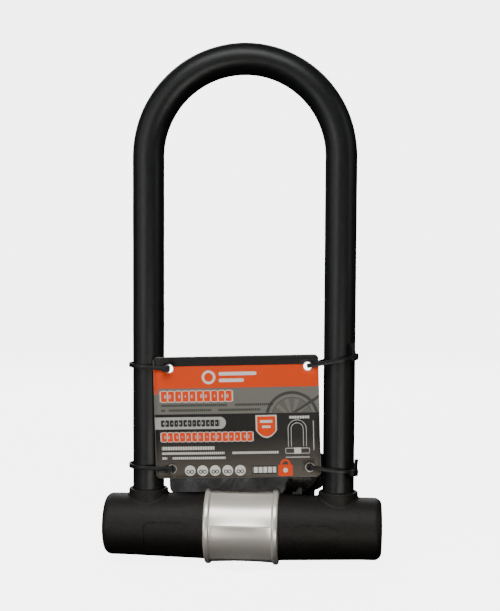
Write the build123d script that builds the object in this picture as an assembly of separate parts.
from build123d import *
import os
from math import asin, cos, radians, sin, sqrt

os.makedirs("parts", exist_ok=True)

# A keyed U lock with its hang card and spare keys, in millimetres.
# X runs along the crossbar, to the right as the front is seen. The front faces -Y.
# +Z runs up the shackle's legs. The origin is the middle of the crossbar's axis.
# It is modelled unlocked, with the shackle seated and the keyhole shutter closed.

# ---- Driving dimensions --------------------------------------------------------------

# Shackle
shackle_length = 320.0
leg_spacing = 123.0
steel_diameter = 18.0
coat_thickness = 1.1
foot_drop = 10.9             # the foot's end, below the crossbar's axis
foot_chamfer = 1.2

# Crossbar tube and its ends
crossbar_length = 180.0
tube_diameter = 34.0
tube_wall = 3.0
end_plug_length = 8.0
roll_pin_diameter = 3.0

# Covers
cover_end_diameter = 40.0
cover_inner_diameter = 43.0
cover_end_wall = 6.0
cover_end_radius = 5.0
cover_end_dome = 0.8
cover_land_length = 14.0     # straight stretch at the outer end, before the taper
collar_wall = 2.0
collar_rise = 3.7            # above the barrel's crest
collar_lip_radius = 0.9
collar_root_radius = 1.6
seal_thickness = 1.1
panel_start = 33.3           # from the middle of the crossbar
panel_length = 29.0
panel_top = 5.7              # above the crossbar's axis
panel_height = 19.0
panel_depth = 0.6

# Middle sleeve
sleeve_length = 47.5
sleeve_rim_diameter = 48.8
sleeve_rim_width = 3.4
sleeve_rim_radius = 1.5
facet_count = 6
facet_ridge_diameter = 48.0
facet_hollow = 1.3           # how far a facet's middle lies below its ridges' circle
facet_turn = 11.0            # degrees that the facets are turned up at the front

# Keyhole and shutter
keyhole_diameter = 9.5
shutter_length = 13.0
shutter_width = 15.0
shutter_thickness = 1.3
shutter_travel = 12.0
shutter_lip = 1.2            # the sleeve's ledge under each side of the shutter
shutter_depth = 21.1         # the ledge's upper face, below the crossbar's axis
surround_thickness = 2.0
thumb_rib_height = 1.1
thumb_rib_pitch = 2.4

# Lock cylinder
housing_diameter = 20.0
housing_bottom = 13.4        # below the crossbar's axis
housing_top = 0.4            # above the crossbar's axis
housing_floor = 1.2
plug_diameter = 14.0
plug_wall = 0.9
plug_cap = 1.2
drive_square = 5.0
disc_count = 6
disc_thickness = 1.1
spacer_thickness = 0.4
keyway_length = 6.6
keyway_width = 2.6
sidebar_width = 1.4
housing_pin_diameter = 2.5

# Cam and bolts
cam_diameter = 16.0
cam_thickness = 2.4
cam_pin_diameter = 3.0
bolt_travel = 7.0
bolt_engagement = 6.0
bolt_width = 10.0
bolt_bottom = 2.0            # above the crossbar's axis
bolt_height = 8.0
bolt_bar_start = 13.5
yoke_bottom = 4.2
yoke_top = 9.0
yoke_gap = 0.6               # between the two yokes
yoke_width = 7.9
yoke_wall = 2.7              # past the slot's end
yoke_overlap = 2.0           # of the yoke and the bar
guide_length = 12.0
guide_start = 34.0

# Hang card and cable ties
card_width = 105.5
card_height = 78.0
card_thickness = 0.6
card_corner = 3.0
card_x = -3.2
card_z = 72.6
card_turn = 1.8              # degrees, right side up
card_gap = 0.8               # between the legs and the card's back
hole_diameter = 5.0
hole_span_x = 88.2
hole_span_z = 64.5
hole_shift_x = 1.7
hole_shift_z = -0.7
strap_width = 2.6
strap_thickness = 1.1
tie_head_width = 4.6
tie_head_height = 3.8
tie_head_depth = 3.2
tie_tail = 9.0               # a long cut end; a trimmed one stops with the head
tie_slack = 7.6              # the loose tie's far end, behind the second key
far_bend = 9.0               # radius of the loose tie at its back

# Accessory bag and keys
bag_width = 100.0
bag_height = 57.3
bag_thickness = 5.0
bag_right = 49.0
bag_bottom = 15.4
bag_tuck = 1.9               # the bag's front, ahead of the covers' rear crest
bag_corner = 20.0
bag_hole_diameter = 7.0
key_head_width = 20.0
key_head_height = 25.5
key_head_thickness = 4.4
key_hole_diameter = 5.0
key_hole_inset = 4.2         # the key's hole, below the top of its head
key_neck_width = 8.6
key_neck_length = 5.0
key_head_corner = 7.2
key_blade_seat = 4.0         # how far the blade goes up into its head
key_blade_width = 5.6
key_blade_thickness = 2.4
key_blade_length = 27.0
key_cut_pitch = 3.2
key_cut_radius = 1.6
key_cut_step = 0.2
key_spacing = 5.0
first_key_swing = 5.0        # degrees, towards the sleeve
second_key_swing = 33.0

# Clearances
seat_gap = 0.05              # between pieces that stay together
running_gap = 0.05           # round the turning cylinder
slide_gap = 0.15             # round each sliding bolt and the shutter
pin_slot_gap = 0.3           # between a cam pin and its yoke's slot
foot_gap = 0.3               # round the shackle's foot
coat_gap = 0.6               # round the coated leg in its collar
bond_gap = 0.02              # between the steel and its moulded coat

# ---- Sizes that follow ---------------------------------------------------------------

leg_x = leg_spacing / 2
steel_r = steel_diameter / 2
coat_r = steel_r + coat_thickness
foot_z = -foot_drop
bow_z = foot_z + shackle_length - leg_x - coat_r

tube_r = tube_diameter / 2
tube_bore_r = tube_r - tube_wall
tube_half = crossbar_length / 2 - cover_end_wall - seat_gap
sleeve_half = sleeve_length / 2
cover_start = sleeve_half + seat_gap
cover_end = crossbar_length / 2
land_start = cover_end - cover_land_length
cover_bore_r = tube_r + seat_gap
plug_r = tube_bore_r - seat_gap


def barrel_radius(x):
    """Outer radius of a cover at a distance x from the middle of the crossbar."""
    share = min(max((x - cover_start) / (land_start - cover_start), 0.0), 1.0)
    wide, narrow = cover_inner_diameter / 2, cover_end_diameter / 2
    return wide + (narrow - wide) * share


collar_bore_r = coat_r + coat_gap
collar_r = collar_bore_r + collar_wall
collar_top = barrel_radius(leg_x) + collar_rise
socket_hole_r = steel_r + foot_gap
seal_bottom = tube_r + seat_gap
seal_top = seal_bottom + seal_thickness
coat_bottom = seal_top + foot_gap

bolt_top = bolt_bottom + bolt_height
locked_tip = leg_x - steel_r + bolt_engagement
open_tip = locked_tip - bolt_travel
cam_pin_orbit = bolt_travel / sqrt(2.0)
cam_pin_x = bolt_travel / 2
cam_bottom = housing_top + running_gap
cam_top = cam_bottom + cam_thickness
plug_bottom = -housing_bottom + housing_floor + running_gap
plug_bore_r = plug_diameter / 2 - plug_wall
disc_r = plug_bore_r - seat_gap
disc_pitch = disc_thickness + spacer_thickness

card_y = -(coat_r + card_gap + card_thickness / 2)
strap_plane = -(coat_r + card_gap + card_thickness + slide_gap)
bag_front = cover_inner_diameter / 2 - bag_tuck
first_key_y = bag_front + bag_thickness + slide_gap + key_head_thickness / 2
second_key_y = first_key_y + key_spacing
tie_reach = second_key_y + tie_slack


# ---- Helpers -------------------------------------------------------------------------

def along_x(radius, start, end):
    """A cylinder on the crossbar's axis, from start to end along X."""
    return Pos((start + end) / 2, 0, 0) * Rot(0, 90, 0) * Cylinder(radius, abs(end - start))


def upright(radius, bottom, top, x=0.0, y=0.0):
    """A vertical cylinder."""
    return Pos(x, y, (bottom + top) / 2) * Cylinder(radius, top - bottom)


def block(x_range, y_range, z_range):
    """A box between two values along each axis."""
    spans = [high - low for low, high in (x_range, y_range, z_range)]
    middle = [(low + high) / 2 for low, high in (x_range, y_range, z_range)]
    return Pos(*middle) * Box(*spans)


def across_y(radius, x, z, length, y=0.0):
    """A cylinder along Y."""
    return Pos(x, y, z) * Rot(90, 0, 0) * Cylinder(radius, length)


def solid_of(shape):
    """The one solid of a shape, without a wrapper."""
    solids = shape.solids()
    assert len(solids) == 1, f"{len(solids)} solids where one is meant"
    return solids[0]


# ---- Shackle -------------------------------------------------------------------------

def bent_rod(radius, bottom):
    """Two legs joined by a half circle, all of one radius."""
    arch = Pos(0, 0, bow_z) * Rot(90, 0, 0) * Torus(leg_x, radius)
    keep = block((-2 * leg_x, 2 * leg_x), (-2 * radius, 2 * radius), (bow_z, bow_z + 2 * leg_x))
    rod = arch & keep
    for side in (-1, 1):
        rod += upright(radius, bottom, bow_z, side * leg_x)
    return rod


def shackle_core():
    """The hardened steel U, with a notch for a bolt in the inner face of each foot."""
    core = bent_rod(steel_r, foot_z)
    foot_rims = core.edges().filter_by(GeomType.CIRCLE).filter_by(
        lambda edge: abs(edge.center().Z - foot_z) < 0.01)
    core = chamfer(foot_rims, foot_chamfer)
    notch_end = locked_tip + foot_gap
    for side in (-1, 1):
        reach = sorted((side * (leg_x - steel_diameter), side * notch_end))
        core -= block(reach, (-steel_diameter, steel_diameter),
                      (bolt_bottom - foot_gap, bolt_top + foot_gap))
    return solid_of(core)


def shackle_coat():
    """The moulded coat over the steel, down to the seals."""
    return solid_of(bent_rod(coat_r, coat_bottom) - bent_rod(steel_r + bond_gap, coat_bottom))


# ---- Crossbar ------------------------------------------------------------------------

def crossbar_tube():
    """The steel tube, with holes for the feet, the lock housing and the pins."""
    tube = along_x(tube_r, -tube_half, tube_half) - along_x(tube_bore_r, -tube_half, tube_half)
    tube -= upright(housing_diameter / 2 + seat_gap, -tube_diameter, 0)
    for side in (-1, 1):
        tube -= upright(socket_hole_r, 0, tube_diameter, side * leg_x)
        tube -= upright(roll_pin_diameter / 2 + seat_gap, -tube_diameter, tube_diameter, side * pin_x())
        tube -= across_y(housing_pin_diameter / 2 + seat_gap, side * housing_pin_x(), housing_pin_z(),
                         2 * tube_diameter)
    return solid_of(tube)


def pin_x():
    """Where a roll pin crosses the tube: the middle of an end plug."""
    return tube_half - end_plug_length / 2


def end_plug(side):
    """The steel plug in an end of the tube."""
    plug = along_x(plug_r, tube_half - end_plug_length, tube_half)
    plug -= upright(roll_pin_diameter / 2 + seat_gap, -tube_diameter, tube_diameter, pin_x())
    return solid_of(plug if side > 0 else mirror(plug, about=Plane.YZ))


def plug_roll_pins():
    """A slotted roll pin through each end plug and both walls of the tube."""
    half = sqrt(tube_r ** 2 - (roll_pin_diameter / 2) ** 2) - seat_gap
    pins = []
    for side in (-1, 1):
        pin = upright(roll_pin_diameter / 2, -half, half, side * pin_x())
        pin -= upright(roll_pin_diameter / 4, -half, half, side * pin_x())
        pins.append(pin)
    return Compound(children=[solid_of(pin) for pin in pins])


def cover_barrel(inset):
    """A right cover's outer form as a solid of revolution, drawn in by an inset."""
    wide, narrow = barrel_radius(cover_start) - inset, barrel_radius(cover_end) - inset
    face_x = cover_end - cover_end_dome
    dome_r = (narrow ** 2 + cover_end_dome ** 2) / (2 * cover_end_dome)
    half_turn = asin(narrow / dome_r) / 2
    dome_middle = (cover_end - dome_r + dome_r * cos(half_turn), dome_r * sin(half_turn))
    outline = [
        Line((cover_start, 0), (cover_start, wide)),
        Line((cover_start, wide), (land_start, narrow)),
        Line((land_start, narrow), (face_x, narrow)),
        ThreePointArc((face_x, narrow), dome_middle, (cover_end, 0)),
        Line((cover_end, 0), (cover_start, 0)),
    ]
    section = make_face(Curve() + outline)
    rim = section.vertices().sort_by_distance((face_x, narrow, 0))[0]
    return revolve(fillet(rim, cover_end_radius), Axis.X)


def cover(side):
    """A cover with its collar, the leg's socket and the sunk panel on its lower front."""
    collar = upright(collar_r, 0, collar_top, leg_x)
    shell = cover_barrel(0.0) + collar
    shell = fillet(shell.edges().filter_by(GeomType.BSPLINE), collar_root_radius)
    lip = shell.edges().filter_by(GeomType.CIRCLE).sort_by(Axis.Z)[-1]
    shell = fillet(lip, collar_lip_radius)
    panel_face = Pos(panel_start + panel_length / 2, panel_top - panel_height / 2) * RectangleRounded(
        panel_length, panel_height, panel_height / 4)
    panel = extrude(Plane.XZ * panel_face, cover_inner_diameter)
    shell -= panel - cover_barrel(panel_depth)
    shell -= along_x(cover_bore_r, 0, tube_half + seat_gap)
    shell -= upright(collar_bore_r, 0, 2 * collar_top, leg_x)
    return solid_of(shell if side > 0 else mirror(shell, about=Plane.YZ))


def socket_seal(side):
    """The rubber ring that keeps water out of a leg's socket."""
    ring = upright(collar_bore_r - seat_gap, seal_bottom, seal_top, side * leg_x)
    return solid_of(ring - upright(socket_hole_r, seal_bottom, seal_top, side * leg_x))


def shutter_slot(width, bottom, top):
    """The space that the shutter and the surround lie in, at one width."""
    half = shutter_length / 2 + seat_gap + slide_gap
    return block((-half, half + shutter_travel), (-width / 2, width / 2), (bottom, top))


def sleeve_point(below, turn):
    """A point of the sleeve's section: how far below the ridges, and degrees up from the front."""
    radius = facet_ridge_diameter / 2 - below
    return (-radius * cos(radians(turn)), radius * sin(radians(turn)))


def center_sleeve():
    """The cast sleeve: two round rims, shallow facets between, and the shutter's slot below."""
    inner = sleeve_half - sleeve_rim_width
    pitch = 360 / facet_count
    arcs = [ThreePointArc(sleeve_point(0, start), sleeve_point(facet_hollow, start + pitch / 2),
                          sleeve_point(0, start + pitch))
            for start in (facet_turn + index * pitch for index in range(facet_count))]
    body = extrude(Plane.YZ * make_face(arcs), sleeve_half - sleeve_rim_radius, both=True)
    rim = along_x(sleeve_rim_diameter / 2, inner, sleeve_half)
    rim = fillet(rim.edges().filter_by(GeomType.CIRCLE), sleeve_rim_radius)
    body += [rim, mirror(rim, about=Plane.YZ)]
    body -= along_x(cover_bore_r, -sleeve_half, sleeve_half)
    body -= shutter_slot(shutter_width + 2 * slide_gap, -shutter_depth, 0)
    body -= shutter_slot(shutter_width - 2 * shutter_lip, -sleeve_rim_diameter, 0)
    return solid_of(body)


def keyhole_surround():
    """The plate above the shutter, with the keyhole."""
    bottom = -shutter_depth + shutter_thickness + 2 * slide_gap
    half = shutter_length / 2 + slide_gap
    plate = block((-half, half + shutter_travel), (-shutter_width / 2, shutter_width / 2),
                  (bottom, bottom + surround_thickness))
    plate -= upright(keyhole_diameter / 2, -shutter_depth, 0)
    return solid_of(plate - along_x(cover_bore_r, -sleeve_half, sleeve_half))


def keyhole_shutter():
    """The sliding shutter, with a thumb rib."""
    bottom = -shutter_depth + slide_gap
    plate = block((-shutter_length / 2, shutter_length / 2), (-shutter_width / 2, shutter_width / 2),
                  (bottom, bottom + shutter_thickness))
    rib_half = shutter_width / 2 - shutter_lip - thumb_rib_height
    for step in (-1, 0, 1):
        middle = step * thumb_rib_pitch
        plate += block((middle - thumb_rib_pitch / 4, middle + thumb_rib_pitch / 4), (-rib_half, rib_half),
                       (bottom - thumb_rib_height, bottom))
    return solid_of(plate)


# ---- Lock cylinder -------------------------------------------------------------------

def housing_pin_x():
    """Where a housing pin passes: in the housing's wall, clear of its bore."""
    bore_r = plug_diameter / 2 + running_gap
    return (bore_r + housing_diameter / 2) / 2


def housing_pin_z():
    """The height of the housing pins."""
    return -housing_bottom / 2


def lock_housing():
    """The upright housing in the middle of the tube, open at the top, a keyhole in its floor."""
    housing = upright(housing_diameter / 2, -housing_bottom, housing_top)
    housing -= upright(plug_diameter / 2 + running_gap, -housing_bottom + housing_floor, housing_top)
    housing -= upright(keyhole_diameter / 2, -housing_bottom, 0)
    for side in (-1, 1):
        housing -= across_y(housing_pin_diameter / 2 + seat_gap, side * housing_pin_x(),
                            housing_pin_z(), housing_diameter * 2)
    return solid_of(housing)


def housing_pins():
    """Two pins across the tube that hold the housing."""
    half = sqrt(tube_r ** 2 - (-housing_pin_z() + housing_pin_diameter / 2) ** 2) - seat_gap
    pins = [across_y(housing_pin_diameter / 2, side * housing_pin_x(), housing_pin_z(), 2 * half)
            for side in (-1, 1)]
    return Compound(children=[solid_of(pin) for pin in pins])


def keyway_slot(bottom, top):
    """The flat slot that the key passes through."""
    return block((-keyway_length / 2, keyway_length / 2), (-keyway_width / 2, keyway_width / 2),
                 (bottom, top))


def cylinder_plug():
    """The turning cup that holds the discs, with a square end for the cam."""
    plug = upright(plug_diameter / 2, plug_bottom, housing_top)
    plug -= upright(plug_bore_r, plug_bottom, housing_top - plug_cap)
    plug += block((-drive_square / 2, drive_square / 2), (-drive_square / 2, drive_square / 2),
                  (housing_top, cam_top - seat_gap))
    slot_half = sidebar_width / 2 + seat_gap
    plug -= block((-slot_half, slot_half), (0, plug_diameter),
                  (plug_bottom + disc_thickness, housing_top - plug_cap))
    return solid_of(plug)


def front_disc():
    """The hardened disc behind the keyhole."""
    bottom = plug_bottom + seat_gap
    disc = upright(disc_r, bottom, bottom + disc_thickness)
    return solid_of(disc - keyway_slot(bottom, bottom + disc_thickness))


def disc_stack_start():
    """The underside of the first coded disc."""
    return plug_bottom + seat_gap + disc_thickness + seat_gap


def lock_discs():
    """The coded discs, each with its keyway and a gate for the sidebar."""
    discs = []
    for index in range(disc_count):
        bottom = disc_stack_start() + index * disc_pitch
        disc = upright(disc_r, bottom, bottom + disc_thickness)
        disc -= keyway_slot(bottom, bottom + disc_thickness)
        gate = block((-sidebar_width / 2, sidebar_width / 2), (disc_r - sidebar_width / 2, disc_r + 1),
                     (bottom, bottom + disc_thickness))
        discs.append(solid_of(disc - gate))
    return Compound(children=discs)


def disc_spacers():
    """The thin washers between the coded discs."""
    rings = []
    for index in range(disc_count - 1):
        bottom = disc_stack_start() + index * disc_pitch + disc_thickness + seat_gap
        top = bottom + spacer_thickness - 2 * seat_gap
        ring = upright(disc_r, bottom, top) - upright(keyway_length / 2 + seat_gap, bottom, top)
        gate = block((-sidebar_width / 2, sidebar_width / 2), (disc_r - sidebar_width / 2, disc_r + 1),
                     (bottom, top))
        rings.append(solid_of(ring - gate))
    return Compound(children=rings)


def sidebar():
    """The bar that lies in the discs' gates when the right key is in."""
    bottom = disc_stack_start()
    top = bottom + (disc_count - 1) * disc_pitch + disc_thickness
    half = sidebar_width / 2 - seat_gap
    bar = block((-half, half), (disc_r - sidebar_width / 2 + seat_gap, plug_diameter), (bottom, top))
    return solid_of(bar & upright(plug_diameter / 2 - seat_gap, bottom, top))


def drive_cam():
    """The cam on the plug's square end, whose two pins move the bolts."""
    cam = upright(cam_diameter / 2, cam_bottom, cam_top)
    square = drive_square / 2 + seat_gap
    cam -= block((-square, square), (-square, square), (cam_bottom, cam_top))
    for side in (-1, 1):
        cam += upright(cam_pin_diameter / 2, cam_top, yoke_top + running_gap,
                       side * cam_pin_x, side * cam_pin_x)
    return solid_of(cam)


# ---- Bolts ---------------------------------------------------------------------------

def bolt(side):
    """A sliding bolt: a flat yoke over the cam, and a bar towards its leg. Shown drawn back."""
    slot_half = cam_pin_diameter / 2 + pin_slot_gap
    yoke_end = -(cam_pin_x + slot_half + yoke_wall)
    near, far = -yoke_gap / 2, -(yoke_gap / 2 + yoke_width)
    piece = block((yoke_end, bolt_bar_start + yoke_overlap), (far, near), (yoke_bottom, yoke_top))
    piece += block((bolt_bar_start, open_tip), (-bolt_width / 2, bolt_width / 2), (bolt_bottom, bolt_top))
    tip = piece.edges().filter_by(Axis.Z).sort_by(Axis.X)[-2:]
    piece = chamfer(tip, bolt_width / 6)
    slot_x = (-cam_pin_x - slot_half, -cam_pin_x + slot_half)
    slot_y = (-(cam_pin_orbit + slot_half), -(cam_pin_x - slot_half))
    piece -= block(slot_x, slot_y, (yoke_bottom, yoke_top))
    return solid_of(piece if side > 0 else Rot(0, 0, 180) * piece)


def bolt_guide(side):
    """The block in the tube that a bolt slides through."""
    guide = along_x(plug_r, guide_start, guide_start + guide_length)
    guide -= block((guide_start, guide_start + guide_length),
                   (-bolt_width / 2 - slide_gap, bolt_width / 2 + slide_gap),
                   (bolt_bottom - slide_gap, bolt_top + slide_gap))
    return solid_of(guide if side > 0 else mirror(guide, about=Plane.YZ))


# ---- Hang card and ties --------------------------------------------------------------

def card_point(right, up):
    """Where a point of the card lies, as (x, z), from its place on the untilted card."""
    turn = radians(card_turn)
    return (card_x + right * cos(turn) - up * sin(turn), card_z + right * sin(turn) + up * cos(turn))


def hole_place(side, level):
    """The place of one of the card's four holes, as (x, z)."""
    return card_point(hole_shift_x + side * hole_span_x / 2, hole_shift_z + level * hole_span_z / 2)


def hang_card():
    """The printed card, with a hole near each corner."""
    card = Pos(card_x, card_y, card_z) * Rot(90, 0, 0) * Rot(0, 0, card_turn) * extrude(
        RectangleRounded(card_width, card_height, card_corner), card_thickness / 2, both=True)
    for side in (-1, 1):
        for level in (-1, 1):
            x, z = hole_place(side, level)
            card -= across_y(hole_diameter / 2, x, z, 2 * card_thickness, card_y)
    return solid_of(card)


def round_spot(x, y, radius):
    """A circle in plan that a strap bends round."""
    return Pos(x, y) * Circle(radius)


def tie_head_block(tail):
    """The head of a tie on the strap's outer face at the origin, and its cut end if it has a tail."""
    head = Pos(0, strap_thickness / 2 - tie_head_depth / 2, 0) * Box(
        tie_head_width, tie_head_depth, tie_head_height)
    if tail:
        head += Pos(0, -tie_head_depth / 2, tail / 2) * Box(strap_width, strap_thickness, tail)
    return head


def cable_tie(side, level, tilt, head_turn, tail, reach=0.0):
    """A cable tie through one hole of the card and round the leg beside it.

    The head sits at the hole, or head_turn degrees round the leg from its front.
    """
    hole_x, hole_z = hole_place(side, level)
    bend = strap_thickness
    turn_x = hole_x + side * (bend + strap_thickness / 2)
    spots = [round_spot(side * leg_x, 0, -strap_plane), round_spot(turn_x, strap_plane + bend, bend)]
    if reach:
        spots.append(round_spot(hole_x + side * (far_bend + strap_thickness / 2), reach - far_bend, far_bend))
    outline = make_hull([edge for spot in spots for edge in spot.edges()])
    loop = extrude(offset(outline, strap_thickness) - outline, strap_width / 2, both=True)
    outside = strap_plane - strap_thickness
    if head_turn:
        head = Pos(side * leg_x, 0, 0) * Rot(0, 0, side * head_turn) * Pos(0, outside, 0)
    else:
        head = Pos(turn_x, outside, 0)
    flat_tie = loop + head * tie_head_block(tail)
    return solid_of(Pos(hole_x, 0, hole_z) * Rot(0, tilt, 0) * Pos(-hole_x, 0, 0) * flat_tie)


# ---- Accessory bag and keys ----------------------------------------------------------

def accessory_bag():
    """A slack plastic bag behind the card, plain here, with the hole that it hangs from."""
    outline = Pos(bag_right - bag_width / 2, bag_bottom + bag_height / 2) * Rectangle(bag_width, bag_height)
    corners = outline.vertices().sort_by_distance((bag_right, bag_bottom, 0))
    outline = fillet(corners[1:], bag_corner / 4)
    outline = fillet(outline.vertices().sort_by_distance((bag_right, bag_bottom, 0))[0], bag_corner)
    bag = Pos(0, bag_front + bag_thickness, 0) * Rot(90, 0, 0) * extrude(outline, bag_thickness)
    hole_x, hole_z = hole_place(1, -1)
    bag -= across_y(bag_hole_diameter / 2, hole_x, hole_z, 4 * bag_thickness, bag_front)
    return solid_of(bag)


def key_pose(plane_y, swing):
    """Puts a key, drawn with its hole at the origin, on the loose tie."""
    hole_x, hole_z = hole_place(1, -1)
    return Pos(hole_x, plane_y, hole_z) * Rot(0, swing, 0) * Rot(90, 0, 0)


def key_head(plane_y, swing):
    """The moulded head of a key, with its neck and its hole."""
    middle = key_hole_inset - key_head_height / 2
    flat = Pos(0, middle) * RectangleRounded(key_head_width, key_head_height, key_head_corner)
    neck_top = middle - key_head_height / 2
    neck_drawn = key_neck_length + key_blade_seat
    flat += Pos(0, neck_top - key_neck_length + neck_drawn / 2) * Rectangle(key_neck_width, neck_drawn)
    flat -= Circle(key_hole_diameter / 2)
    head = extrude(flat, key_head_thickness / 2, both=True)
    slot = Pos(0, neck_top - key_neck_length) * Box(
        key_blade_width + 2 * seat_gap, 2 * blade_root(), key_blade_thickness + 2 * seat_gap)
    return solid_of(key_pose(plane_y, swing) * (head - slot))


def blade_root():
    """How far a blade reaches up into its head."""
    return key_neck_length + key_blade_seat


def key_blade(plane_y, swing):
    """The flat steel blade, with a pointed end and shallow cuts down both edges."""
    neck_end = key_hole_inset - key_head_height - key_neck_length
    top, bottom = neck_end + blade_root() - seat_gap, neck_end - key_blade_length
    half, tip = key_blade_width / 2, key_blade_width / 3
    flat = make_face(Polyline((-half, top), (half, top), (half, bottom + tip), (half - tip, bottom),
                              (tip - half, bottom), (-half, bottom + tip), close=True))
    blade = extrude(flat, key_blade_thickness / 2, both=True)
    for index in range(disc_count):
        cut_z = bottom + tip + (index + 0.5) * key_cut_pitch
        for side in (-1, 1):
            cut_r = key_cut_radius + key_cut_step * ((index + side) % 3)
            blade -= Pos(side * (half + key_cut_radius - 2 * key_cut_step), cut_z) * Cylinder(
                cut_r, 2 * key_blade_width)
    return solid_of(key_pose(plane_y, swing) * blade)


# ---- Output --------------------------------------------------------------------------

pieces = {
    "crossbar_tube": crossbar_tube(),
    "left_end_plug": end_plug(-1),
    "right_end_plug": end_plug(1),
    "plug_roll_pins": plug_roll_pins(),
    "left_cover": cover(-1),
    "right_cover": cover(1),
    "left_socket_seal": socket_seal(-1),
    "right_socket_seal": socket_seal(1),
    "center_sleeve": center_sleeve(),
    "keyhole_surround": keyhole_surround(),
    "keyhole_shutter": keyhole_shutter(),
    "lock_housing": lock_housing(),
    "housing_pins": housing_pins(),
    "cylinder_plug": cylinder_plug(),
    "front_disc": front_disc(),
    "lock_discs": lock_discs(),
    "disc_spacers": disc_spacers(),
    "sidebar": sidebar(),
    "drive_cam": drive_cam(),
    "left_bolt": bolt(-1),
    "right_bolt": bolt(1),
    "left_bolt_guide": bolt_guide(-1),
    "right_bolt_guide": bolt_guide(1),
    "shackle_core": shackle_core(),
    "shackle_coat": shackle_coat(),
    "hang_card": hang_card(),
    "upper_left_tie": cable_tie(-1, 1, 3.4, 0.0, 0.0),
    "upper_right_tie": cable_tie(1, 1, -11.0, 45.0, tie_tail),
    "lower_left_tie": cable_tie(-1, -1, 1.5, 0.0, 0.0),
    "lower_right_tie": cable_tie(1, -1, 7.0, 48.0, tie_tail, tie_reach),
    "accessory_bag": accessory_bag(),
    "first_key_head": key_head(first_key_y, first_key_swing),
    "first_key_blade": key_blade(first_key_y, first_key_swing),
    "second_key_head": key_head(second_key_y, second_key_swing),
    "second_key_blade": key_blade(second_key_y, second_key_swing),
}

for name, piece in pieces.items():
    export_step(piece, f"parts/{name}.step")

height = bow_z + leg_x + coat_r + sleeve_rim_diameter / 2
print(len(pieces), "nodes; overall height", round(height, 1), "width", crossbar_length)
